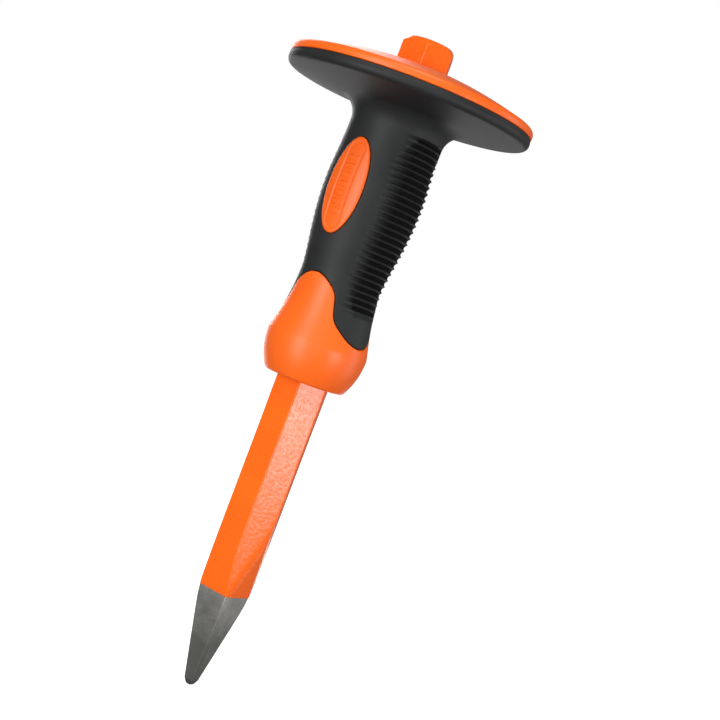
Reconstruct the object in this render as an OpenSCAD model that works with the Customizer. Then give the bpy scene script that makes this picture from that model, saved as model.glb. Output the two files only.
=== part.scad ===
// Point chisel with a round hand guard: a hexagonal steel bar in a two-colour moulded handle.
// The bar's axis is Z, its point is at the origin, and the struck head is at the top.
// The front of the handle, with its oval badge, faces -Y.

/* [Bar] */
// Length from the point to the struck face
bar_len = 250; // [240:1:270]
// Hexagon size across the flats, over the paint
bar_af = 18.8; // [17:0.1:20]
// Turn of the hexagon about the axis, away from a flat facing the front
bar_turn = 3; // [-15:1:15]
// Width of the blunt end of the point
point_end_w = 2.3; // [1:0.1:4]
// Height of the short steep bevel at the point's end
point_bevel_h = 2; // [1:0.1:4]
// Width of the four-sided point just above that bevel
point_w = 4.1; // [3:0.1:5]
// Half angle of the four-sided taper
taper_angle = 8.4; // [6:0.1:10]
// Radius of the flat struck face
struck_r = 8.4; // [7:0.1:9]
// Angle of the head's chamfer, up from level
chamfer_angle = 48; // [35:1:60]

/* [Handle] */
// Height of the bulb's lower face above the point
handle_z = 119.4; // [117:0.1:122]
// Height of the bulb's widest part
bulb_z = 134.1; // [130:0.1:136]
// Radius of the bulb's widest part
bulb_r = 19; // [18:0.1:21]
// Half height of the ellipse that shapes the bulb's lower half
bulb_drop = 23.7; // [22:0.1:26]
// Radius of the rounded lower edge of the bulb
bulb_edge_r = 1.6; // [1:0.1:3]
// Height of the waist below the grip
waist_z = 158.3; // [156:0.1:160]
// Radius of the waist
waist_r = 15.45; // [15:0.05:17]
// How soon the outline leaves the bulb for the waist, where 1 is evenly
waist_lean = 0.61; // [0.6:0.01:1]
// Height of the grip's swell, where the palm holds it
palm_z = 191.6; // [187:0.1:196]
// Radius of the swell
palm_r = 18.75; // [18:0.05:20]
// How soon the outline leaves the waist for the swell, where 1 is evenly
palm_lean = 0.77; // [0.7:0.01:1]
// Height of the neck under the guard
neck_z = 214.8; // [212:0.1:216]
// Radius of the neck
neck_r = 17.55; // [17:0.05:18]
// Outer radius of the hidden rigid sleeve
sleeve_r = 13.2; // [12.6:0.1:13.6]

/* [Tongue] */
// Height of the centre of the tongue's round top
tongue_z = 148.2; // [147:0.1:149]
// Radius of the tongue's round top
tongue_r = 10.1; // [9.6:0.1:10.6]
// Distance from the middle to the centre of the round black lobe on each side
lobe_x = 21.8; // [21:0.1:22.6]
// Height of the lobe's centre
lobe_z = 149; // [148:0.1:150]

/* [Ribs] */
// Distance from one rib to the next
rib_pitch = 2.45; // [2:0.01:2.55]
// Height of the lowest groove between ribs
rib_z = 150.85; // [150:0.05:152]
// Number of grooves on each side
rib_count = 26; // [10:1:26]
// Depth of a groove
rib_depth = 0.8; // [0.4:0.1:1.2]
// Width of a groove at its mouth
rib_mouth = 1.7; // [1:0.1:1.9]
// Width of a groove at its floor
rib_floor = 0.5; // [0.3:0.1:0.8]
// Half of the angle that the ribs cover on each side
rib_half_angle = 38; // [20:1:42]

/* [Badge] */
// Width of the oval badges
badge_w = 15.6; // [12:0.1:18]
// Height of the oval badges
badge_h = 35.8; // [30:0.1:40]
// Height of the badges' centre
badge_z = 190.7; // [188:0.1:192]
// Gap around a badge
badge_gap = 0.25; // [0.1:0.05:0.4]

/* [Guard] */
// Outer radius of the guard
guard_r = 46.5; // [40:0.5:55]
// Height of the seam between the soft pad and the orange plate
seam_z = 229.6; // [229:0.1:232]
// Height of the plate's edge above the seam
plate_edge_h = 3.4; // [3:0.1:5]
// Radius of the plate's rounded upper edge
plate_edge_r = 2; // [1:0.1:2.5]
// Rise of the plate's dome from its edge to the axis
dome_h = 7; // [4:0.1:9]
// Thickness of the soft pad at the rim
pad_edge_h = 4.1; // [3.5:0.1:5]
// Radius of the pad's rounded lower edge
pad_edge_r = 2.2; // [1:0.1:3]
// Slope of the pad's underside where it meets the fillet and the rounded edge
underside_angle = 10; // [6:1:12]
// Radius of the fillet between the neck and the pad's underside
neck_fillet_r = 8; // [5:0.1:9]
// Depth of the socket in the plate that takes the end of the sleeve
socket_depth = 3; // [1:0.1:4]

/* [Hidden] */

hex_corner_r = bar_af / 2 / cos(30);
// Each lobe reaches a little way into the tongue's circle, so that the two outlines cross cleanly
lobe_overlap = 0.5;
lobe_r = lobe_x - tongue_r + lobe_overlap;
// How far a cutting shape runs past the surface that it cuts
over = 1;
// The same for the grooves between ribs, which lie close together
groove_over = 0.3;
// Length of a cut that goes right through the handle from front to back
reach = 60;
// Half width of the taper's outline where it has grown past the hexagon's corners, and its height there
taper_top_w = hex_corner_r + over;
taper_top_z = point_bevel_h + (taper_top_w - point_w / 2) / tan(taper_angle);
plate_edge_z = seam_z + plate_edge_h;
pad_edge_z = seam_z - pad_edge_h;
plate_rim_r = guard_r - plate_edge_r;
dome_r = (plate_rim_r * plate_rim_r + dome_h * dome_h) / (2 * dome_h);
// Spacing of the points along a curved outline
outline_step = 1;
// Points in a quarter of a rounded edge
edge_steps = 8;
// Points around the oval badge
oval_steps = 72;
// Segments of the handle's and the guard's round shapes
handle_fn = 96;
guard_fn = 128;
// Share of the dome's arc that is drawn, so that it starts just inside the rounded edge
dome_share = 0.98;

orange = [0.98, 0.4, 0.1];
black = [0.16, 0.165, 0.17];

// Smooth step from 0 to 1 as z goes from z0 to z1, sooner than evenly if lean is below 1
function ease(z, z0, z1, lean = 1) = (1 - cos(180 * pow((z - z0) / (z1 - z0), lean))) / 2;

// Outer radius of the handle between the bulb and the neck
function handle_radius(z) =
    z < bulb_z ? bulb_r * sqrt(1 - pow((bulb_z - z) / bulb_drop, 2))
    : z < waist_z ? bulb_r + (waist_r - bulb_r) * ease(z, bulb_z, waist_z, waist_lean)
    : z < palm_z ? waist_r + (palm_r - waist_r) * ease(z, waist_z, palm_z, palm_lean)
    : palm_r + (neck_r - palm_r) * ease(min(z, neck_z), palm_z, neck_z);

// Points on the handle's outline from one height to another
function handle_outline(z0, z1) =
    let (count = ceil((z1 - z0) / outline_step))
    [for (i = [0:count]) let (z = z0 + (z1 - z0) * i / count) [handle_radius(z), z]];

// Points on an arc about a centre, from one angle to another
function arc(centre, r, from, to) =
    [for (i = [0:edge_steps])
        let (a = from + (to - from) * i / edge_steps)
        [centre[0] + r * cos(a), centre[1] + r * sin(a)]];

// Full hexagonal prism of the bar, between two heights
module hexagon(z0, z1) {
    translate([0, 0, z0])
        rotate([0, 0, bar_turn])
            cylinder(h = z1 - z0, r = hex_corner_r, $fn = 6);
}

// Prism whose two sloping sides taper to the point, seen along Y
module taper_wedge() {
    end_w = point_end_w / 2;
    bevel_w = point_w / 2;
    rotate([90, 0, 0])
        linear_extrude(height = reach, center = true)
            polygon([
                [-end_w, 0], [end_w, 0], [bevel_w, point_bevel_h],
                [taper_top_w, taper_top_z], [taper_top_w, bar_len],
                [-taper_top_w, bar_len], [-taper_top_w, taper_top_z],
                [-bevel_w, point_bevel_h]
            ]);
}

// Round envelope of the bar, with the chamfer around the struck face
module head_envelope() {
    envelope_r = hex_corner_r + over;
    chamfer_h = (envelope_r - struck_r) * tan(chamfer_angle);
    rotate_extrude($fn = handle_fn)
        polygon([
            [0, 0], [envelope_r, 0], [envelope_r, bar_len - chamfer_h],
            [struck_r, bar_len], [0, bar_len]
        ]);
}

// Steel bar: hexagon, four-sided point and chamfered head
module chisel_bar() {
    color(orange)
        intersection() {
            hexagon(0, bar_len);
            head_envelope();
            rotate([0, 0, bar_turn]) taper_wedge();
            rotate([0, 0, bar_turn + 90]) taper_wedge();
        }
}

// Whole outer form of the handle below the guard, as one turned solid
module handle_form(z_top) {
    edge_r0 = handle_radius(handle_z + bulb_edge_r);
    rotate_extrude($fn = handle_fn)
        polygon(concat(
            [[0, handle_z]],
            arc([edge_r0 - bulb_edge_r, handle_z + bulb_edge_r], bulb_edge_r, -90, 0),
            handle_outline(handle_z + bulb_edge_r + outline_step, z_top),
            [[0, z_top]]
        ));
}

// Field that the orange bulb and its front and back tongues fill, run through from front to back
module bolster_field() {
    low_z = handle_z - over;
    rotate([90, 0, 0]) {
        translate([0, tongue_z, 0])
            cylinder(h = reach, r = tongue_r, center = true, $fn = handle_fn);
        difference() {
            translate([-lobe_x, low_z, -reach / 2])
                cube([2 * lobe_x, lobe_z - low_z, reach]);
            for (side = [-1, 1])
                translate([side * lobe_x, lobe_z, 0])
                    cylinder(h = reach + 2 * over, r = lobe_r, center = true, $fn = handle_fn);
        }
    }
}

// Bore in the soft parts for the rigid sleeve
module sleeve_bore() {
    translate([0, 0, handle_z - over])
        cylinder(h = seam_z - handle_z + 2 * over, r = sleeve_r, $fn = handle_fn);
}

// Rigid sleeve on the hexagon, with the bulb and its two tongues
module core_sleeve() {
    color(orange)
        difference() {
            union() {
                translate([0, 0, handle_z])
                    cylinder(h = seam_z + socket_depth - handle_z, r = sleeve_r, $fn = handle_fn);
                intersection() {
                    handle_form(tongue_z + tongue_r + over);
                    bolster_field();
                }
            }
            hexagon(handle_z - over, bar_len);
        }
}

// Domed plate on top of the guard
module guard_plate() {
    dome_centre_z = plate_edge_z + dome_h - dome_r;
    rim_angle = asin(plate_rim_r / dome_r);
    color(orange)
        difference() {
            rotate_extrude($fn = guard_fn)
                polygon(concat(
                    [[0, seam_z], [guard_r, seam_z]],
                    arc([plate_rim_r, plate_edge_z - plate_edge_r], plate_edge_r, 0, 90),
                    arc([0, dome_centre_z], dome_r, 90 - rim_angle * dome_share, 90)
                ));
            translate([0, 0, seam_z - over])
                cylinder(h = socket_depth + over, r = sleeve_r, $fn = handle_fn);
            hexagon(seam_z, bar_len);
        }
}

// Grooves between the ribs, on both sides
module rib_grooves() {
    outer_half = (rib_mouth + (rib_mouth - rib_floor) * groove_over / rib_depth) / 2;
    for (side = [0, 180])
        rotate([0, 0, side - rib_half_angle])
            rotate_extrude(angle = 2 * rib_half_angle, $fn = handle_fn)
                for (i = [0:rib_count - 1]) {
                    z = rib_z + i * rib_pitch;
                    r = handle_radius(z);
                    polygon([
                        [r - rib_depth, z - rib_floor / 2], [r + groove_over, z - outer_half],
                        [r + groove_over, z + outer_half], [r - rib_depth, z + rib_floor / 2]
                    ]);
                }
}

// Upright oval prism that reaches from the axis out through the front
module oval_prism(margin) {
    w = badge_w / 2 + margin;
    h = badge_h / 2 + margin;
    translate([0, 0, badge_z])
        rotate([90, 0, 0])
            linear_extrude(height = reach)
                polygon([for (i = [0:oval_steps - 1])
                    [w * cos(360 * i / oval_steps), h * sin(360 * i / oval_steps)]]);
}

// Soft grip, with the pad under the guard plate
module grip_overmould() {
    pad_rim_r = guard_r - pad_edge_r;
    color(black)
        difference() {
            rotate_extrude($fn = guard_fn)
                polygon(concat(
                    [[0, handle_z]],
                    handle_outline(handle_z, neck_z),
                    arc([neck_r + neck_fillet_r, neck_z], neck_fillet_r, 180, 90 + underside_angle),
                    arc([pad_rim_r, pad_edge_z + pad_edge_r], pad_edge_r, underside_angle - 90, 0),
                    [[guard_r, seam_z], [0, seam_z]]
                ));
            sleeve_bore();
            bolster_field();
            rib_grooves();
            for (side = [0, 180])
                rotate([0, 0, side]) oval_prism(badge_gap);
        }
}

// Oval badge on the sleeve, in the front window of the grip
module badge() {
    color(orange)
        difference() {
            intersection() {
                handle_form(neck_z);
                oval_prism(0);
            }
            sleeve_bore();
        }
}

module badge_front() {
    badge();
}

module badge_back() {
    rotate([0, 0, 180]) badge();
}

chisel_bar();
core_sleeve();
guard_plate();
grip_overmould();
badge_front();
badge_back();
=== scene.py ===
"""Point chisel with a round hand guard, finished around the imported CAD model.

The bar stands on its point along +Z, and the front of the handle faces -Y. Sizes are millimetres, and
every mesh is scaled to metres as it is made.
"""

import math

import bmesh
import bpy
import numpy as np
from mathutils import Matrix, Vector
from mathutils.geometry import delaunay_2d_cdt


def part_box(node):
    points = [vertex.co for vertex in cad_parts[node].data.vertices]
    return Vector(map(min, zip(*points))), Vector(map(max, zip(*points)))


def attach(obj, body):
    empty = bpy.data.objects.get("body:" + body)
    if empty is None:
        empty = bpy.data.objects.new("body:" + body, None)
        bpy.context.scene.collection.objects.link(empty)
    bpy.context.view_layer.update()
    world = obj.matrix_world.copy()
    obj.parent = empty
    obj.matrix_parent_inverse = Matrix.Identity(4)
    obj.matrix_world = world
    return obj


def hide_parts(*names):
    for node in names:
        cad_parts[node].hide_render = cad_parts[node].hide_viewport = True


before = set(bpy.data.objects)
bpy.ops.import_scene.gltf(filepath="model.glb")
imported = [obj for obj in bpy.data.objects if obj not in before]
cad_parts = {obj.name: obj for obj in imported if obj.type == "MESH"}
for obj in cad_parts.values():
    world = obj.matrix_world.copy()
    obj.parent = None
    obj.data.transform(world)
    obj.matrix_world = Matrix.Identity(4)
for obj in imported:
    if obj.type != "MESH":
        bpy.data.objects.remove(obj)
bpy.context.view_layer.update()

MM = 0.001
BODY = "root"


# ---------------------------------------------------------------- sizes read from the CAD model's boxes
def box_mm(node):
    """Lowest and highest corner of a CAD node, in millimetres."""
    return [[round(value / MM, 3) for value in corner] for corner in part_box(node)]


bar_high = box_mm("chisel_bar")[1]
sleeve_low, sleeve_high = box_mm("core_sleeve")
plate_low, plate_high = box_mm("guard_plate")
badge_low, badge_high = box_mm("badge_front")

BAR_LEN = bar_high[2]
HANDLE_Z = sleeve_low[2]
SLEEVE_TOP_Z = sleeve_high[2]
SEAM_Z = plate_low[2]
GUARD_R = plate_high[0]
BADGE_HALF_W = badge_high[0]
BADGE_HALF_H = (badge_high[2] - badge_low[2]) / 2
BADGE_Z = (badge_high[2] + badge_low[2]) / 2

# ---------------------------------------------------------------- other sizes, the same as the CAD model's
BAR_AF = 18.8
BAR_TURN = 3.0
POINT_END_W = 2.3
POINT_BEVEL_H = 2.0
POINT_W = 4.1
TAPER_ANGLE = 8.4
STRUCK_R = 8.4
CHAMFER_ANGLE = 48.0

BULB_Z = 134.1
BULB_R = 19.0
BULB_DROP = 23.7
BULB_EDGE_R = 1.6
WAIST_Z = 158.3
WAIST_R = 15.45
WAIST_LEAN = 0.61
PALM_Z = 191.6
PALM_R = 18.75
PALM_LEAN = 0.77
NECK_Z = 214.8
NECK_R = 17.55
SLEEVE_R = 13.2

PLATE_EDGE_H = 3.4
PLATE_EDGE_R = 2.0
DOME_H = 7.0
PAD_EDGE_H = 4.1
PAD_EDGE_R = 2.2
NECK_FILLET_R = 8.0
UNDERSIDE_ANGLE = 10.0

# ---------------------------------------------------------------- sizes of the visible detail
# Where the paint ends and the bare point starts, and how far the paint stands above the steel
PAINT_EDGE_Z = 37.0
PAINT_FILM = 0.12
# Rounded lips along the seams of the moulding, and half of the gap between two of them
LIP_R = 0.4
GAP = 0.15
# Clearance between a piece and the hidden one inside it
SLIP = 0.05
# Half of the gap between the guard's pad and its plate
PAD_GAP = 0.06

# Ribs: pitch, height of one crest, depth of the grooves, and share of each scallop cut off to leave a land.
# Then the ribbed field's middle, half height, soft upper and lower ends, and rounded corners
RIB_PITCH = 2.45
RIB_CREST_Z = 154.5
RIB_DEPTH = 1.3
RIB_LAND = 0.19
RIB_MID_Z = 182.3
RIB_HALF_H = 33.2
RIB_END_FADE = 0.8
RIB_LOW_FADE = 1.8
RIB_CORNER = 9.0
# Degrees: each field is centred a little behind the middle of the handle's side. Its grooves have their full
# depth up to one angle from there, and end at the other
RIB_LEAN = 4.0
RIB_FULL_ANGLE = 24.0
RIB_END_ANGLE = 54.0

# Edge of the orange bulb: a low line round the sides, a broad arch up to the front and back, and on it a
# tongue with steep flanks at one turn from the front
SEAM_LOW_Z = 137.5
SEAM_ARCH = 14.0
SEAM_ARCH_POWER = 2.1
TONGUE_RISE = 7.1
TONGUE_TURN = 40.8
FLANK_SOFT = 2.1

# Columns of a piece that goes all the way round, and their turns
COLS = 480
TURNS = np.arange(COLS) * 2 * math.pi / COLS


# ---------------------------------------------------------------- shape functions
def ease(z, z0, z1, lean=1.0):
    """Smooth step from 0 to 1 as z goes from z0 to z1, sooner than evenly if lean is below 1."""
    share = np.clip((z - z0) / (z1 - z0), 0, 1)
    return (1 - np.cos(np.pi * share ** lean)) / 2


def handle_radius(z):
    """Outer radius of the handle between the bulb and the neck."""
    z = np.minimum(np.asarray(z, float), NECK_Z)
    bulb = BULB_R * np.sqrt(1 - ((BULB_Z - np.minimum(z, BULB_Z)) / BULB_DROP) ** 2)
    waist = BULB_R + (WAIST_R - BULB_R) * ease(z, BULB_Z, WAIST_Z, WAIST_LEAN)
    palm = WAIST_R + (PALM_R - WAIST_R) * ease(z, WAIST_Z, PALM_Z, PALM_LEAN)
    neck = PALM_R + (NECK_R - PALM_R) * ease(z, PALM_Z, NECK_Z)
    return np.select([z < BULB_Z, z < WAIST_Z, z < PALM_Z], [bulb, waist, palm], neck)


def turned(turn, r, z):
    """Points at a turn from the front of the handle (radians), a radius and a height."""
    turn, r, z = np.broadcast_arrays(turn, r, z)
    return np.stack([r * np.sin(turn), -r * np.cos(turn), z], axis=-1)


def hex_radius(turn, clearance=0.0):
    """Radius of the bar's hexagon at a turn from the front of the handle."""
    from_flat = np.degrees(turn) - BAR_TURN
    from_flat = (from_flat + 30) % 60 - 30
    return (BAR_AF / 2 + clearance) / np.cos(np.radians(from_flat))


def arc(cx, cz, r, start, end, steps):
    """Points (radius, height) along an arc in the plane of the axis, angles in degrees."""
    a = np.radians(np.linspace(start, end, steps + 1))
    return [(cx + r * math.cos(t), cz + r * math.sin(t)) for t in a]


def smooth(x):
    x = np.clip(x, 0, 1)
    return x * x * (3 - 2 * x)


# ---------------------------------------------------------------- meshes
SHARP_ANGLE = 40
WELD = 0.002
DEGENERATE = 0.0005


def add_piece(name, verts, faces, material, nodes=()):
    """A welded, smooth-shaded mesh from millimetre points. It rides on the body and stands for CAD nodes."""
    mesh = bpy.data.meshes.new(name)
    bm = bmesh.new()
    made = [bm.verts.new(p) for p in (np.asarray(verts, float) * MM).tolist()]
    for face in faces:
        bm.faces.new([made[i] for i in face])
    bmesh.ops.remove_doubles(bm, verts=bm.verts, dist=WELD * MM)
    bmesh.ops.dissolve_degenerate(bm, edges=bm.edges, dist=DEGENERATE * MM)
    bmesh.ops.recalc_face_normals(bm, faces=bm.faces)
    bm.to_mesh(mesh)
    bm.free()
    mesh.shade_smooth()
    mesh.set_sharp_from_angle(angle=math.radians(SHARP_ANGLE))
    obj = bpy.data.objects.new(name, mesh)
    bpy.context.scene.collection.objects.link(obj)
    mesh.materials.append(material)
    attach(obj, BODY)
    if nodes:
        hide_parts(*nodes)
    return obj


def ring_faces(rows, cols, closed=False, first=0):
    """Quads between rows of points that each go all the way round."""
    faces = []
    for i in range(rows if closed else rows - 1):
        j = (i + 1) % rows
        for k in range(cols):
            m = (k + 1) % cols
            here, there = first + i * cols, first + j * cols
            faces.append((here + k, here + m, there + m, there + k))
    return faces


def inside(points, polygon):
    """Which points lie inside a closed polygon."""
    hit = np.zeros(len(points), bool)
    x, y = points[:, 0], points[:, 1]
    for (x0, y0), (x1, y1) in zip(polygon, np.roll(polygon, -1, axis=0)):
        if y0 != y1:
            crosses = (y0 > y) != (y1 > y)
            hit ^= crosses & (x < (x1 - x0) * (y - y0) / (y1 - y0) + x0)
    return hit


def triangulate(border, holes=(), chains=(), fill=()):
    """Triangles over the flat area inside border and outside holes. Chains are open lines kept as edges.

    Returns the flat points, the triangles, and where each given point went, in the order of the arguments.
    """
    points, edges = [], []
    for loop in [border, *holes]:
        n = len(points)
        points.extend(loop)
        edges.extend((n + i, n + (i + 1) % len(loop)) for i in range(len(loop)))
    for line in chains:
        n = len(points)
        points.extend(line)
        edges.extend((n + i, n + i + 1) for i in range(len(line) - 1))
    points.extend(fill)
    points = np.asarray(points, float)
    out, _, faces, sources, *_ = delaunay_2d_cdt([Vector(p) for p in points], edges, [], 0, 1e-6)
    out = np.array([tuple(p) for p in out])
    faces = np.array([f for f in faces if len(f) == 3])
    where = np.zeros(len(points), int)
    for i, given in enumerate(sources):
        if given:
            where[list(given)] = i
            out[i] = points[given[0]]
    middle = out[faces].mean(axis=1)
    keep = inside(middle, np.asarray(border))
    for hole in holes:
        keep &= ~inside(middle, np.asarray(hole))
    a, b, c = out[faces[:, 0]], out[faces[:, 1]], out[faces[:, 2]]
    area = np.abs((b - a)[:, 0] * (c - a)[:, 1] - (b - a)[:, 1] * (c - a)[:, 0])
    keep &= area > 1e-5
    return out, faces[keep], where


# ---------------------------------------------------------------- camera
SENSOR_W = 36
LENS = 72.7
CAM_AZIMUTH, CAM_ELEVATION, CAM_ROLL = (math.radians(a) for a in (35.7, 2.157, 20.74))
CAM_DISTANCE, CAM_TARGET_Z, CAM_OFFSET = 530.7, 133.92, 16.6


def add_camera():
    az, el, roll = CAM_AZIMUTH, CAM_ELEVATION, CAM_ROLL
    back = Vector((math.sin(az) * math.cos(el), -math.cos(az) * math.cos(el), math.sin(el)))
    right = Vector((math.cos(az), math.sin(az), 0))
    up = back.cross(right)
    place = Vector((0, 0, CAM_TARGET_Z)) + right * CAM_OFFSET + back * CAM_DISTANCE
    turned_right = right * math.cos(roll) + up * math.sin(roll)
    turned_up = up * math.cos(roll) - right * math.sin(roll)
    data = bpy.data.cameras.new("camera")
    data.sensor_width = SENSOR_W
    data.lens = LENS
    data.clip_start, data.clip_end = 0.01, 100
    camera = bpy.data.objects.new("camera", data)
    axes = Matrix((turned_right, turned_up, back)).transposed()
    camera.matrix_world = Matrix.Translation(place * MM) @ axes.to_4x4()
    bpy.context.scene.collection.objects.link(camera)
    bpy.context.scene.camera = camera


# ---------------------------------------------------------------- materials
class Shader:
    """Builds one procedural material. Texture scales are features per metre of the object's own space."""

    def __init__(self, name, **sockets):
        self.material = bpy.data.materials.new(name)
        self.material.use_nodes = True
        self.nodes = self.material.node_tree.nodes
        self.links = self.material.node_tree.links
        self.bsdf = self.nodes["Principled BSDF"]
        self.place = self.nodes.new("ShaderNodeTexCoord").outputs["Object"]
        for key, value in sockets.items():
            self.bsdf.inputs[key.replace("_", " ")].default_value = value

    def put(self, socket, value):
        if isinstance(value, bpy.types.NodeSocket):
            self.links.new(value, socket)
        else:
            socket.default_value = value

    def stretched(self, x, y, z):
        node = self.nodes.new("ShaderNodeMapping")
        node.inputs["Scale"].default_value = (x, y, z)
        self.links.new(self.place, node.inputs["Vector"])
        return node.outputs["Vector"]

    def noise(self, scale, detail=3.0, rough=0.5, where=None):
        node = self.nodes.new("ShaderNodeTexNoise")
        self.links.new(where or self.place, node.inputs["Vector"])
        node.inputs["Scale"].default_value = scale
        node.inputs["Detail"].default_value = detail
        node.inputs["Roughness"].default_value = rough
        return node.outputs["Fac"]

    def span(self, value, low, high, to_low=0.0, to_high=1.0):
        """Maps low..high of a value onto another span, clamped."""
        node = self.nodes.new("ShaderNodeMapRange")
        self.put(node.inputs["Value"], value)
        for key, number in (("From Min", low), ("From Max", high), ("To Min", to_low), ("To Max", to_high)):
            node.inputs[key].default_value = number
        return node.outputs["Result"]

    def mix(self, factor, a, b):
        """Colour a where factor is 0, b where it is 1."""
        node = self.nodes.new("ShaderNodeMix")
        node.data_type = "RGBA"
        self.put(node.inputs["Factor"], factor)
        for key, value in (("A", a), ("B", b)):
            socket = next(s for s in node.inputs if s.name == key and s.type == "RGBA")
            self.put(socket, (*value, 1) if isinstance(value, tuple) else value)
        return next(s for s in node.outputs if s.type == "RGBA")

    def add(self, a, b, scale=1.0):
        """a + b * scale."""
        return self.math("MULTIPLY_ADD", b, scale, a)

    def math(self, operation, *values):
        node = self.nodes.new("ShaderNodeMath")
        node.operation = operation
        for socket, value in zip(node.inputs, values):
            self.put(socket, value)
        return node.outputs[0]

    def axis(self, name, unit=False):
        """One coordinate of the place, or of its direction from the handle's axis."""
        where = self.place
        if unit:
            node = self.nodes.new("ShaderNodeVectorMath")
            node.operation = "NORMALIZE"
            self.links.new(self.stretched(1, 1, 0), node.inputs[0])
            where = node.outputs["Vector"]
        node = self.nodes.new("ShaderNodeSeparateXYZ")
        self.links.new(where, node.inputs[0])
        return node.outputs[name]

    def bump(self, height, depth, strength=1.0):
        """Bump from a height field, whose whole range is depth millimetres."""
        node = self.nodes.new("ShaderNodeBump")
        node.inputs["Strength"].default_value = strength
        node.inputs["Distance"].default_value = depth * MM
        self.links.new(height, node.inputs["Height"])
        self.links.new(node.outputs["Normal"], self.bsdf.inputs["Normal"])

    def colour(self, value):
        self.put(self.bsdf.inputs["Base Color"], value)

    def roughness(self, value):
        self.put(self.bsdf.inputs["Roughness"], value)


ORANGE = (1.0, 0.13, 0.001)
PAINT_PALE = (1.0, 0.15, 0.003)
PLASTIC_PALE = (1.0, 0.145, 0.003)
STEEL_DARK, STEEL_LIGHT = (0.27, 0.27, 0.25), (0.6, 0.59, 0.55)
RUBBER_DARK, RUBBER_LIGHT = (0.014, 0.0145, 0.015), (0.021, 0.022, 0.023)
# Near-black painted shade for the grooves between the ribs
GROOVE_PAINTED_SHADE = (0.004, 0.004, 0.004)


def paint_material():
    """Gloss paint with an orange-peel relief."""
    s = Shader("orange_paint", Specular_IOR_Level=0.5)
    broad = s.noise(scale=45, detail=2)
    peel = s.noise(scale=750, detail=1.5)
    specks = s.noise(scale=2600, detail=2, rough=0.6)
    s.colour(s.mix(s.span(broad, 0.35, 0.7), ORANGE, PAINT_PALE))
    s.roughness(s.span(peel, 0.3, 0.7, 0.2, 0.29))
    s.bump(s.add(peel, specks, 0.3), depth=0.07)
    return s.material


def steel_material():
    """Bare steel with grinding lines across it, blotched, and with painted shade that darkens it towards the
    point's end.
    """
    s = Shader("ground_steel", Metallic=1.0)
    grind = s.noise(scale=1.0, rough=0.6, where=s.stretched(260, 260, 2600))
    blotch = s.noise(scale=90, rough=0.6)
    fine = s.noise(scale=2400, detail=2, rough=0.6)
    # Painted shade and light: the steel's colour is darker towards the point's end and lighter towards the
    # paint
    tip_shade = s.span(s.axis("Z"), 4 * MM, 36 * MM, -0.35, 0.12)
    tone = s.add(s.add(blotch, fine, 0.35), tip_shade)
    s.colour(s.mix(s.span(tone, 0.45, 0.95), STEEL_DARK, STEEL_LIGHT))
    s.roughness(s.span(grind, 0.3, 0.7, 0.36, 0.46))
    s.bump(s.add(fine, grind, 0.5), depth=0.02, strength=0.5)
    return s.material


def plastic_material():
    """Satin moulded plastic with a fine grain."""
    s = Shader("orange_plastic", Specular_IOR_Level=0.5)
    broad = s.noise(scale=40, detail=2)
    grain = s.noise(scale=5200, detail=2, rough=0.6)
    s.colour(s.mix(s.span(broad, 0.35, 0.7), ORANGE, PLASTIC_PALE))
    s.roughness(s.span(grain, 0.3, 0.7, 0.36, 0.46))
    s.bump(grain, depth=0.012, strength=0.6)
    return s.material


def groove_shade_mask(s):
    """Where shade is painted into the grooves between the ribs: 1 in their middle, 0 on the crests and
    outside the ribbed fields.
    """
    turns_per_rib = 2 * math.pi / RIB_PITCH
    phase = s.math("MULTIPLY_ADD", s.axis("Z"), turns_per_rib / MM, -turns_per_rib * RIB_CREST_Z)
    between = s.span(s.math("COSINE", phase), 0.8, 0.0)
    from_mid = s.math("ABSOLUTE", s.math("SUBTRACT", s.axis("Z"), RIB_MID_Z * MM))
    in_field = s.span(from_mid, (RIB_HALF_H + 1) * MM, (RIB_HALF_H - 1) * MM)
    lean = math.radians(RIB_LEAN)
    sideways = s.math("MULTIPLY", s.math("ABSOLUTE", s.axis("X", unit=True)), math.cos(lean))
    to_side = s.math("MULTIPLY_ADD", s.axis("Y", unit=True), math.sin(lean), sideways)
    # The shade ends a little inside the grooves' own ends, where they are still deep enough to show it
    full, none = (math.cos(math.radians(a)) for a in (RIB_FULL_ANGLE + 2, RIB_END_ANGLE - 7))
    return s.math("MULTIPLY", s.math("MULTIPLY", between, in_field), s.span(to_side, none, full))


def rubber_material():
    """Matt rubber with a fine grain. In the moulded grooves the colour and the specular are turned down as
    painted shade, and the surface is rougher.
    """
    s = Shader("black_rubber")
    broad = s.noise(scale=60)
    grain = s.noise(scale=4200, rough=0.6)
    groove_shade = groove_shade_mask(s)
    skin = s.mix(s.span(broad, 0.3, 0.7), RUBBER_DARK, RUBBER_LIGHT)
    # Painted shade: the grooves are coloured near black and reflect less, standing in for the shade that
    # falls in them
    s.colour(s.mix(groove_shade, skin, GROOVE_PAINTED_SHADE))
    s.put(s.bsdf.inputs["Specular IOR Level"], s.span(groove_shade, 0, 1, 0.36, 0.11))
    s.roughness(s.add(s.span(grain, 0.3, 0.7, 0.5, 0.62), groove_shade, 0.25))
    s.bump(grain, depth=0.03, strength=0.6)
    return s.material


# ---------------------------------------------------------------- the bar
# Rounding of the bar's edges, and of the lines where the point's planes leave the hexagon
BAR_EDGE_SOFT = 0.14
BAR_BLEND = 0.6
# The planes of the point have all run out below the first height, and the head's chamfer starts at the second
TAPER_TOP_Z = 66.0
CHAMFER_Z = 246.8
TAPER_ROW = 0.7
CHAMFER_ROW = 0.15
# A flat bounds the bar only where the cosine of the angle from its middle is above this. Elsewhere it is
# taken to be far off
LEAST_FACING = 0.05
FAR_OFF = 99.0


def soft_min(values, reach):
    """Smallest of some arrays, with the meeting lines rounded over a reach in millimetres."""
    values = np.stack(np.broadcast_arrays(*values))
    least = values.min(axis=0)
    return least - reach * np.log(np.exp((least - values) / reach).sum(axis=0))


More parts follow.
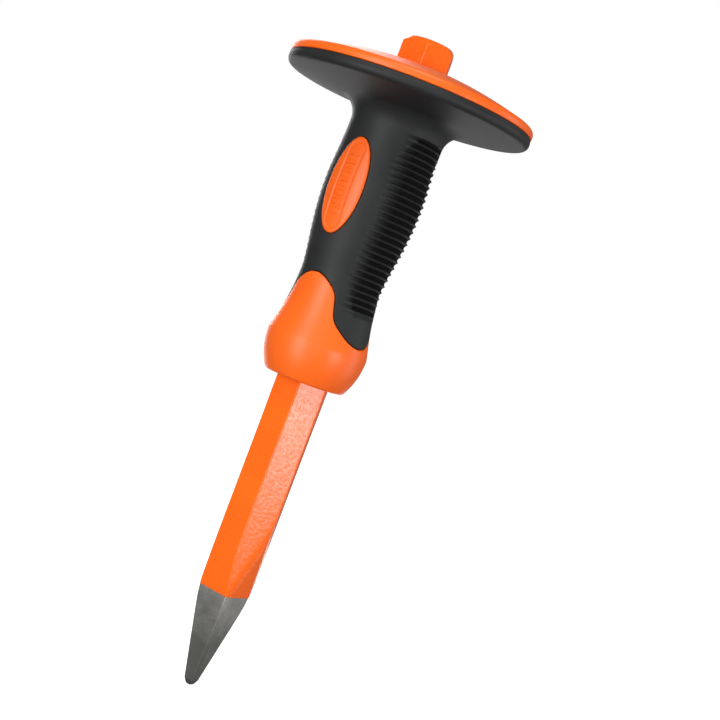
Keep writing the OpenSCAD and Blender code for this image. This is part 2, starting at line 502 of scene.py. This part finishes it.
def bar_radius(turn, z):
    """The bar's outline: the hexagon, drawn down into the four-sided point, and the head's chamfer."""
    slope = math.tan(math.radians(TAPER_ANGLE))
    steep = (POINT_W - POINT_END_W) / 2 / POINT_BEVEL_H
    half = min(POINT_W / 2 + slope * (z - POINT_BEVEL_H), POINT_END_W / 2 + steep * z)

    def flat(angle, distance):
        facing = np.cos(turn - math.radians(angle))
        return np.where(facing > LEAST_FACING, distance / np.maximum(facing, LEAST_FACING), FAR_OFF)

    sides = []
    for k in range(6):
        drawn = flat(BAR_TURN + 90 * round(60 * k / 90), half)
        sides.append(soft_min([flat(BAR_TURN + 60 * k, BAR_AF / 2), drawn], BAR_BLEND))
    chamfer = STRUCK_R + (BAR_LEN - z) / math.tan(math.radians(CHAMFER_ANGLE))
    return soft_min([soft_min(sides, BAR_EDGE_SOFT), chamfer], BAR_EDGE_SOFT)


def add_bar(name, rows, material, nodes=()):
    """A closed length of the bar through rows of (height, inset from the outline)."""
    rings = [turned(TURNS, bar_radius(TURNS, z) - inset, z) for z, inset in rows]
    faces = ring_faces(len(rings), COLS)
    low, high = len(rings) * COLS, len(rings) * COLS + 1
    last = (len(rings) - 1) * COLS
    for k in range(COLS):
        m = (k + 1) % COLS
        faces += [(low, m, k), (high, last + k, last + m)]
    ends = [(0, 0, rows[0][0]), (0, 0, rows[-1][0])]
    return add_piece(name, np.concatenate([*rings, ends]), faces, material, nodes)


def add_painted_bar(material):
    edge = PAINT_EDGE_Z
    rows = [(edge, 0.1), (edge + 0.03, 0.04), (edge + 0.1, 0.0)]
    rows += [(z, 0.0) for z in np.arange(edge + TAPER_ROW, TAPER_TOP_Z, TAPER_ROW)]
    # Few rows where the bar is straight
    rows += [(z, 0.0) for z in (68, 71, 75, 80, 120, 180, 240, CHAMFER_Z - 0.4)]
    rows += [(z, 0.0) for z in np.arange(CHAMFER_Z, BAR_LEN - 0.25, CHAMFER_ROW)]
    rows += [(BAR_LEN - 0.12, 0.03), (BAR_LEN - 0.04, 0.1), (BAR_LEN, 0.24)]
    return add_bar("bar_painted", rows, material, ["chisel_bar"])


def add_steel_point(material):
    rows = [(0.0, 0.35), (0.08, 0.2), (0.25, 0.08), (0.5, 0.0)]
    rows += [(z, 0.0) for z in np.arange(0.75, 3.1, 0.25)]
    rows += [(z, 0.0) for z in np.arange(4, PAINT_EDGE_Z, 3.0)]
    rows.append((PAINT_EDGE_Z + 0.5, 0.0))
    return add_bar("bar_point", [(z, inset + PAINT_FILM) for z, inset in rows], material)


# ---------------------------------------------------------------- seam between the bulb and the grip
def seam_curve(turns):
    """Height of the bulb's edge at each turn (radians), the same on all four quarters."""
    from_front = np.degrees(np.arcsin(np.abs(np.sin(turns))))
    arch = SEAM_ARCH * np.abs(np.cos(turns)) ** SEAM_ARCH_POWER
    tongue = TONGUE_RISE / (1 + np.exp((from_front - TONGUE_TURN) / FLANK_SOFT))
    return SEAM_LOW_Z + arch + tongue


def seam_offset(turns, distance):
    """The seam's points moved square to the seam within the handle's surface, upwards if distance > 0."""
    z = seam_curve(turns)
    r = handle_radius(z)
    step = np.radians(0.2)
    dz = (seam_curve(turns + step) - seam_curve(turns - step)) / (2 * step)
    length = np.hypot(r, dz)
    return turns - distance * dz / length / r, z + distance * r / length


LIP_STEPS = 5


def lip(side):
    """Offsets from a seam or an outline, and depths, over a rounded lip that ends in the gap."""
    rows = []
    for a in np.radians(np.linspace(0, 90, LIP_STEPS + 1)):
        rows.append((side * (GAP + LIP_R * (1 - math.sin(a))), LIP_R * (1 - math.cos(a))))
    return rows


# ---------------------------------------------------------------- rigid sleeve with the bulb
# Rounding of the bore's mouth in the bulb's underside, and rows up the bulb's side
MOUTH_EDGE = 0.35
BULB_ROWS = 44


def add_sleeve(material):
    bore = hex_radius(TURNS, SLIP)
    mouth = bore + MOUTH_EDGE
    rows = [
        turned(TURNS, bore, HANDLE_Z + MOUTH_EDGE),
        turned(TURNS, bore + 0.1, HANDLE_Z + 0.1),
        turned(TURNS, mouth, HANDLE_Z),
    ]
    # The rounded lower edge runs tangent into the bulb's side. Its top is found by a few repeated steps
    low_z = HANDLE_Z + BULB_EDGE_R
    for _ in range(8):
        near = 0.01
        slope = (handle_radius(low_z + near) - handle_radius(low_z - near)) / (2 * near)
        lean = math.atan(slope)
        low_z = HANDLE_Z + BULB_EDGE_R * (1 - math.sin(lean))
    cx = float(handle_radius(low_z)) - BULB_EDGE_R * math.cos(lean)
    for share in (0.25, 0.5, 0.75):
        rows.append(turned(TURNS, mouth * (1 - share) + cx * share, HANDLE_Z))
    for r, z in arc(cx, HANDLE_Z + BULB_EDGE_R, BULB_EDGE_R, -90, -math.degrees(lean), 10):
        rows.append(turned(TURNS, r, z))
    lips = lip(-1)
    top_turns, top_z = seam_offset(TURNS, lips[0][0])
    for share in np.arange(1, BULB_ROWS) / BULB_ROWS:
        z = low_z + (top_z - low_z) * share
        rows.append(turned(TURNS + (top_turns - TURNS) * share ** 2, handle_radius(z), z))
    for distance, depth in lips:
        t, z = seam_offset(TURNS, distance)
        rows.append(turned(t, handle_radius(z) - depth, z))
    t, z = seam_offset(TURNS, -GAP)
    rows.append(turned(t, SLEEVE_R, z))
    rows.append(turned(TURNS, SLEEVE_R, SLEEVE_TOP_Z - 0.1))
    rows.append(turned(TURNS, bore, SLEEVE_TOP_Z - 0.1))
    faces = ring_faces(len(rows), COLS, closed=True)
    verts = np.concatenate(rows)
    return add_piece("sleeve_and_bulb", verts, faces, material, ["core_sleeve"])


# ---------------------------------------------------------------- soft grip with its pad
# The grip's side is meshed unrolled, as if it were a cylinder of this radius
FLAT_R = 17.0
HALF_COLS = 240
OVAL_COUNT = 180
ROWS_PER_RIB = 10
COLS_PER_FIELD = 26
RIB_ROWS_FROM_Z = 146.8
SKIN_PITCH = 1.0
PAD_STEP = 0.12
# The field's corners round off between these two angles from its middle
CORNER_FROM, CORNER_TO = 22, 46


def rib_depth(turn, z):
    """Depth of the scalloped grooves between the ribs on the two sides of the grip."""
    from_front = np.degrees(np.arccos(np.clip(np.cos(turn), -1, 1)))
    from_side = np.abs(from_front - 90 - RIB_LEAN)
    sideways = smooth((RIB_END_ANGLE - from_side) / (RIB_END_ANGLE - RIB_FULL_ANGLE))
    # The ends of the ribbed field have rounded corners
    beyond = np.clip((from_side - CORNER_FROM) / (CORNER_TO - CORNER_FROM), 0, 1)
    half_h = RIB_HALF_H - RIB_CORNER * beyond ** 1.5
    fade = np.where(z < RIB_MID_Z, RIB_LOW_FADE, RIB_END_FADE)
    endways = smooth(0.5 + (half_h - np.abs(z - RIB_MID_Z)) / (2 * fade))
    scallop = np.abs(np.sin(np.pi * (z - RIB_CREST_Z) / RIB_PITCH))
    return RIB_DEPTH * np.clip((scallop - RIB_LAND) / (1 - RIB_LAND), 0, 1) * sideways * endways


def oval(margin, count):
    """Points (across, up) on the badge's outline, moved outwards by margin."""
    a = np.arange(count) * 2 * math.pi / count
    across = (BADGE_HALF_W + margin) * np.cos(a)
    up = BADGE_Z + (BADGE_HALF_H + margin) * np.sin(a)
    return np.stack([across, up], axis=-1)


def oval_to_flat(points):
    """Front elevation (across, up) to the unrolled surface (arc at FLAT_R, up)."""
    x, z = points[:, 0], points[:, 1]
    return np.stack([np.arcsin(np.clip(x / handle_radius(z), -1, 1)) * FLAT_R, z], axis=-1)


def grip_half():
    """Front half of the grip's side, unrolled.

    Returns the flat points, their depths below the surface, the triangles, where each given point went, the
    border, the badge's window, and how many of the border's points lie on the seam.
    """
    turns = np.linspace(-math.pi / 2, math.pi / 2, HALF_COLS + 1)
    edge_x = math.pi / 2 * FLAT_R

    def seam_line(distance):
        t, z = seam_offset(turns, distance)
        t[0], t[-1] = turns[0], turns[-1]
        return np.stack([t * FLAT_R, z], axis=-1)

    lips = lip(1)
    gap_depth = lips[-1][1]
    reach = lips[0][0]
    seam = seam_line(GAP)
    flush = seam_line(reach)
    window = oval_to_flat(oval(GAP, OVAL_COUNT))
    chains, chain_depths = [], []
    for distance, depth in [*lips[:-1], (reach + 0.35, 0.0)]:
        ring = oval_to_flat(oval(distance, OVAL_COUNT))
        chains += [seam_line(distance), np.vstack([ring, ring[:1]])]
        chain_depths += [depth, depth]

    rib_edge = math.radians(RIB_END_ANGLE + RIB_LEAN + 1) * FLAT_R
    step = RIB_PITCH / ROWS_PER_RIB
    low = RIB_CREST_Z - math.ceil((RIB_CREST_Z - RIB_ROWS_FROM_Z) / step) * step
    rib_rows = np.arange(low, RIB_MID_Z + RIB_HALF_H + 1.5, step)
    side_z = np.concatenate([np.linspace(flush[-1][1] + 0.7, low - 0.7, 10), rib_rows])
    top = np.stack([turns * FLAT_R, np.full(HALF_COLS + 1, NECK_Z)], axis=-1)
    side_z = side_z[side_z < NECK_Z - 0.15]
    right = np.stack([np.full(len(side_z), edge_x), side_z], axis=-1)
    left = right[::-1] * (-1, 1)
    ends = np.array([line[-1] for line in chains[::2]])
    ends = ends[np.argsort(ends[:, 1])]
    border = np.vstack([seam, ends, right, top[::-1], left, ends[::-1] * (-1, 1)])

    fill = []
    for z in rib_rows[(rib_rows > low) & (rib_rows < NECK_Z - 0.15)]:
        for x in np.linspace(0, rib_edge, COLS_PER_FIELD)[1:]:
            fill += [(edge_x - x, z), (x - edge_x, z)]
    # Plain skin: staggered rows of points, wherever the ribbed fields leave room
    for i, z in enumerate(np.arange(138, NECK_Z - 0.5, SKIN_PITCH * 0.87)):
        half = edge_x - 0.6
        if low < z < RIB_MID_Z + RIB_HALF_H + 1:
            half = edge_x - rib_edge - 0.5
        start = -half + (i % 2) * SKIN_PITCH / 2
        fill += [(x, z) for x in np.arange(start, half, SKIN_PITCH)]
    fill = np.array(fill)
    beyond = seam_line(reach + 0.9)
    floor_z = np.interp(fill[:, 0], beyond[:, 0], beyond[:, 1])
    clear = oval_to_flat(oval(reach + 0.8, OVAL_COUNT))
    fill = fill[(fill[:, 1] > floor_z) & ~inside(fill, clear)]
    flat, faces, where = triangulate(border, [window], chains, fill)
    depth = np.zeros(len(flat))
    depth[where[: len(seam)]] = gap_depth
    first = len(border)
    depth[where[first : first + len(window)]] = gap_depth
    first += len(window)
    for line, value in zip(chains, chain_depths):
        depth[where[first : first + len(line)]] = value
        first += len(line)
    return flat, depth, faces, where, border, window, len(seam)


def add_grip(material):
    flat, depth, faces, where, border, window, seam_count = grip_half()
    turn = flat[:, 0] / FLAT_R
    z = flat[:, 1]
    # Hidden bore: the same outlines, with few points between them
    inner_fill = np.array([(x, z) for z in np.arange(162, 212, 6.0) for x in np.arange(-25, 26, 5.0)])
    inner_fill = inner_fill[~inside(inner_fill, oval_to_flat(oval(1.0, 90)))]
    bore_flat, bore_faces, bore_where = triangulate(border, [window], [], inner_fill)
    bore_r = SLEEVE_R + SLIP
    bore = turned(bore_flat[:, 0] / FLAT_R, bore_r, bore_flat[:, 1])

    verts, all_faces = [], []
    for half in (0, math.pi):
        spin = np.array(Matrix.Rotation(half, 3, "Z"))
        first = sum(map(len, verts))
        outer = turned(turn, handle_radius(z) - depth - rib_depth(turn + half, z), z)
        verts.append(outer @ spin.T)
        all_faces += (faces + first).tolist()
        second = first + len(outer)
        verts.append(bore @ spin.T)
        all_faces += (bore_faces[:, ::-1] + second).tolist()
        around_window = [*range(len(border), len(border) + len(window)), len(border)]
        for loop in (range(seam_count), around_window):
            for a, b in zip(loop, loop[1:]):
                outer_edge = (first + where[a], first + where[b])
                all_faces.append((*outer_edge, second + bore_where[b], second + bore_where[a]))
    # The neck's fillet, the pad's underside and rim, and the hidden top and bore
    cx = NECK_R + NECK_FILLET_R
    profile = arc(cx, NECK_Z, NECK_FILLET_R, 180, 90 + UNDERSIDE_ANGLE, 30)
    rim_z = SEAM_Z - PAD_EDGE_H + PAD_EDGE_R
    rim = arc(GUARD_R - PAD_EDGE_R, rim_z, PAD_EDGE_R, UNDERSIDE_ANGLE - 90, 0, 9)
    (r0, z0), (r1, z1) = profile[-1], rim[0]
    spread = 16
    profile += [(r0 + (r1 - r0) * k / spread, z0 + (z1 - z0) * k / spread) for k in range(1, spread)]
    profile += rim
    # A fine step in under the plate, then the lip at the seam
    step_r = GUARD_R - PAD_STEP
    profile += [(GUARD_R, SEAM_Z - 1.25), (GUARD_R - 0.05, SEAM_Z - 1.15), (step_r, SEAM_Z - 1.05)]
    pad_top = SEAM_Z - PAD_GAP
    profile += arc(step_r - LIP_R, pad_top - LIP_R, LIP_R, 0, 90, LIP_STEPS)
    profile += [(GUARD_R - 1.5, pad_top), (SLEEVE_R + 6, pad_top), (bore_r, pad_top), (bore_r, NECK_Z)]
    first = sum(map(len, verts))
    verts += [turned(TURNS, r - rib_depth(TURNS, z) * (r > bore_r), z) for r, z in profile]
    all_faces += ring_faces(len(profile), COLS, first=first)
    verts = np.concatenate(verts)
    return add_piece("soft_grip", verts, all_faces, material, ["grip_overmould"])


# ---------------------------------------------------------------- guard plate
# Gap and rounding of the hexagonal opening round the bar, and the radius where the dome's rows become round
PLATE_GAP = 0.12
OPENING_R = 0.35
JOIN_R = 16.0


def add_plate(material):
    rim_r = GUARD_R - PLATE_EDGE_R
    edge_z = SEAM_Z + PLATE_EDGE_H
    dome_r = (rim_r ** 2 + DOME_H ** 2) / (2 * DOME_H)
    centre_z = edge_z + DOME_H - dome_r

    def dome(r):
        return centre_z + np.sqrt(dome_r ** 2 - r ** 2)

    bore = hex_radius(TURNS, PLATE_GAP)
    rows = [turned(TURNS, bore, dome(bore) - 0.8), turned(TURNS, bore + 0.02, dome(bore) - 0.3)]
    for a in np.radians((30, 60, 90)):
        r = bore + OPENING_R * (1 - math.cos(a))
        rows.append(turned(TURNS, r, dome(r) - OPENING_R * (1 - math.sin(a))))
    for share in np.linspace(0, 1, 8)[1:]:
        r = (bore + OPENING_R) * (1 - share) + JOIN_R * share
        rows.append(turned(TURNS, r, dome(r)))
    # The dome's edge runs tangent into the rounded rim
    lean = math.degrees(math.asin((rim_r - 0.3) / dome_r))
    rim = arc(rim_r, edge_z - PLATE_EDGE_R, PLATE_EDGE_R, 90 - lean, 0, 10)
    for r in np.linspace(JOIN_R, rim_r - 0.6, 22)[1:]:
        rows.append(turned(TURNS, r, dome(r)))
    low_z = SEAM_Z + PAD_GAP
    socket_r = SLEEVE_R + SLIP
    lower = arc(GUARD_R - LIP_R, low_z + LIP_R, LIP_R, 0, -90, LIP_STEPS)
    lower += [(GUARD_R - 1.5, low_z), (socket_r, low_z), (socket_r, SLEEVE_TOP_Z)]
    for r, z in rim + lower:
        rows.append(turned(TURNS, r, z))
    rows.append(turned(TURNS, bore, SLEEVE_TOP_Z))
    faces = ring_faces(len(rows), COLS, closed=True)
    verts = np.concatenate(rows)
    return add_piece("guard_plate_skin", verts, faces, material, ["guard_plate"])


# ---------------------------------------------------------------- oval badges
# Rounded edge, height above the grip, sunk panel, and a row of plain raised blocks along it
BADGE_EDGE, BADGE_PROUD = 1.0, 0.4
PANEL_HALF_W, PANEL_DEPTH, PANEL_INSET, PANEL_SLOPE = 3.6, 0.3, 1.2, 0.4
BLOCK_PITCH, BLOCK_HALF_H, BLOCK_H, BLOCK_ROWS = 3.3, 1.1, 0.3, 3
BLOCK_HALF_W, BLOCK_SLOPE = 2.1, 0.25
# Outline points, rings of points inside the outline by how far in they lie, and the fine grid inside them
BADGE_COUNT = 144
BADGE_RINGS = (0.12, 0.3, 0.55, 0.8, 1.1, 1.4, 1.7, 1.95, 2.2, 2.5)
BADGE_GRID = 0.2
BADGE_GAP = 0.04


def badge_height(x, z):
    """Height of the badge's face above the grip: rounded edge, sunk middle panel, raised blocks."""
    across = np.hypot(x / (BADGE_HALF_W), (z - BADGE_Z) / (BADGE_HALF_H))
    # Distance in from the outline, measured square to it well enough for a narrow border
    slope = np.hypot(x / (BADGE_HALF_W) ** 2, (z - BADGE_Z) / (BADGE_HALF_H) ** 2)
    far_in = 9.0
    inwards = np.where(across > 0.2, (1 - across ** 2) / (2 * np.maximum(slope, 1e-6)), far_in)
    height = BADGE_PROUD * np.sqrt(1 - (1 - np.clip(inwards / BADGE_EDGE, 0, 1)) ** 2)
    panel = smooth((PANEL_HALF_W - np.abs(x)) / PANEL_SLOPE) * smooth((inwards - PANEL_INSET) / PANEL_SLOPE)
    row = np.round((z - BADGE_Z) / BLOCK_PITCH)
    from_row = np.abs(z - BADGE_Z - row * BLOCK_PITCH)
    block = smooth((BLOCK_HALF_H - from_row) / BLOCK_SLOPE) * (np.abs(row) <= BLOCK_ROWS)
    block = block * smooth((BLOCK_HALF_W - np.abs(x)) / BLOCK_SLOPE)
    return height - PANEL_DEPTH * panel + BLOCK_H * block * panel


def add_badge(name, half_turn, material, node):
    """A badge in its window. Its back lies on the sleeve."""
    count = BADGE_COUNT
    outline = oval(-BADGE_GAP, count)
    rings = [oval(-inset, count) for inset in BADGE_RINGS]
    chains = [np.vstack([ring, ring[:1]]) for ring in rings]
    ups = np.arange(-15, 15, BADGE_GRID) + BADGE_Z
    fill = np.array([(x, z) for z in ups for x in np.arange(-5.2, 5.3, BADGE_GRID)])
    fill = fill[inside(fill, oval(-BADGE_RINGS[-1] - BADGE_GRID, count))]
    flat, faces, where = triangulate(outline, [], chains, fill)
    x, z = flat[:, 0], flat[:, 1]
    r = handle_radius(z) + badge_height(x, z)
    turn = np.arcsin(x / handle_radius(z))
    top = turned(turn, r, z)
    bottom_r = SLEEVE_R + SLIP
    low = turned(np.arcsin(outline[:, 0] / handle_radius(outline[:, 1])), bottom_r, outline[:, 1])
    rim = where[:count].tolist()
    first = len(top)
    faces = faces.tolist()
    for k in range(count):
        m = (k + 1) % count
        faces.append((rim[k], rim[m], first + m, first + k))
    bottom_fill = [(a, b) for a in (-3.0, 0.0, 3.0) for b in np.arange(-12, 13, 4.0) + BADGE_Z]
    bottom_fill = [p for p in bottom_fill if inside(np.array([p]), oval(-1, count))[0]]
    low_flat, low_faces, _ = triangulate(outline, fill=bottom_fill)
    base = turned(np.arcsin(low_flat[:, 0] / handle_radius(low_flat[:, 1])), bottom_r, low_flat[:, 1])
    second = first + len(low)
    faces += (low_faces[:, ::-1] + second).tolist()
    verts = np.concatenate([top, low, base])
    spin = np.diag([math.cos(half_turn), math.cos(half_turn), 1.0])
    return add_piece(name, verts @ spin, faces, material, [node])


# ---------------------------------------------------------------- studio
LIGHT_TARGET_Z = 0.14
AMBIENT, REFLECTED = 0.3, 0.16
FLOOR_SIDE = 30.0
FLOOR_Z = -0.0002
FLOOR_GLOW = 0.77
# Name, azimuth and elevation in degrees, distance, width and height in metres, power in watts
SOFTBOXES = (
    ("softbox_front", 1, 0, 0.9, 0.26, 0.9, 5.8),
    ("softbox_near", 37, 2, 1.0, 0.08, 0.8, 1.0),
    ("softbox_right", 84, -6, 0.9, 0.3, 0.14, 2.3),
    ("softbox_side", 136, 2, 1.0, 0.3, 0.9, 2.2),
    ("softbox_left", -118, 0, 1.0, 0.2, 0.8, 1.5),
    ("softbox_back", 215, -25, 1.1, 1.0, 0.4, 2.0),
    ("softbox_rear", 235, 20, 1.1, 0.5, 0.8, 5),
    ("softbox_top", 40, 60, 1.1, 0.5, 0.5, 4.5),
)


def softbox(name, azimuth, elevation, distance, width, height, power):
    """A rectangular light that looks at the handle and isn't seen by the camera."""
    a, e = math.radians(azimuth), math.radians(elevation)
    back = Vector((math.sin(a) * math.cos(e), -math.cos(a) * math.cos(e), math.sin(e)))
    data = bpy.data.lights.new(name, "AREA")
    data.shape = "RECTANGLE"
    data.size, data.size_y = width, height
    data.energy = power
    light = bpy.data.objects.new(name, data)
    light.location = Vector((0, 0, LIGHT_TARGET_Z)) + back * distance
    light.rotation_mode = "QUATERNION"
    light.rotation_quaternion = back.to_track_quat("Z", "Y")
    light.visible_camera = False
    bpy.context.scene.collection.objects.link(light)


def add_world():
    """White surroundings. They light matt and glossy surfaces more dimly than they look."""
    world = bpy.data.worlds.new("studio")
    bpy.context.scene.world = world
    world.use_nodes = True
    nodes, links = world.node_tree.nodes, world.node_tree.links
    background = nodes["Background"]
    background.inputs["Color"].default_value = (1, 1, 1, 1)
    path = nodes.new("ShaderNodeLightPath")
    strength = AMBIENT
    for ray, level in (("Is Glossy Ray", REFLECTED), ("Is Camera Ray", 1.0)):
        choose = nodes.new("ShaderNodeMapRange")
        choose.inputs["To Max"].default_value = level
        links.new(path.outputs[ray], choose.inputs["Value"])
        if isinstance(strength, float):
            choose.inputs["To Min"].default_value = strength
        else:
            links.new(strength, choose.inputs["To Min"])
        strength = choose.outputs["Result"]
    links.new(strength, background.inputs["Strength"])


def add_floor():
    """A wide pale floor just under the point, which neither lights nor darkens the object."""
    material = bpy.data.materials.new("pale_floor")
    material.use_nodes = True
    shader = material.node_tree.nodes["Principled BSDF"]
    shader.inputs["Base Color"].default_value = (0.9, 0.9, 0.9, 1)
    shader.inputs["Roughness"].default_value = 0.9
    shader.inputs["Specular IOR Level"].default_value = 0.0
    shader.inputs["Emission Color"].default_value = (1, 1, 1, 1)
    shader.inputs["Emission Strength"].default_value = FLOOR_GLOW
    mesh = bpy.data.meshes.new("floor")
    side = FLOOR_SIDE
    corners = [(-side, -side, 0), (side, -side, 0), (side, side, 0), (-side, side, 0)]
    mesh.from_pydata(corners, [], [(0, 1, 2, 3)])
    mesh.materials.append(material)
    floor = bpy.data.objects.new("floor", mesh)
    floor.location.z = FLOOR_Z
    floor.visible_diffuse = floor.visible_glossy = floor.visible_shadow = False
    bpy.context.scene.collection.objects.link(floor)


def add_studio():
    add_world()
    for settings in SOFTBOXES:
        softbox(*settings)
    add_floor()
    bpy.context.scene.view_settings.view_transform = "Standard"


add_camera()
add_painted_bar(paint_material())
add_steel_point(steel_material())
plastic = plastic_material()
add_sleeve(plastic)
add_grip(rubber_material())
add_plate(plastic)
add_badge("badge_front_skin", 0, plastic, "badge_front")
add_badge("badge_back_skin", math.pi, plastic, "badge_back")
add_studio()
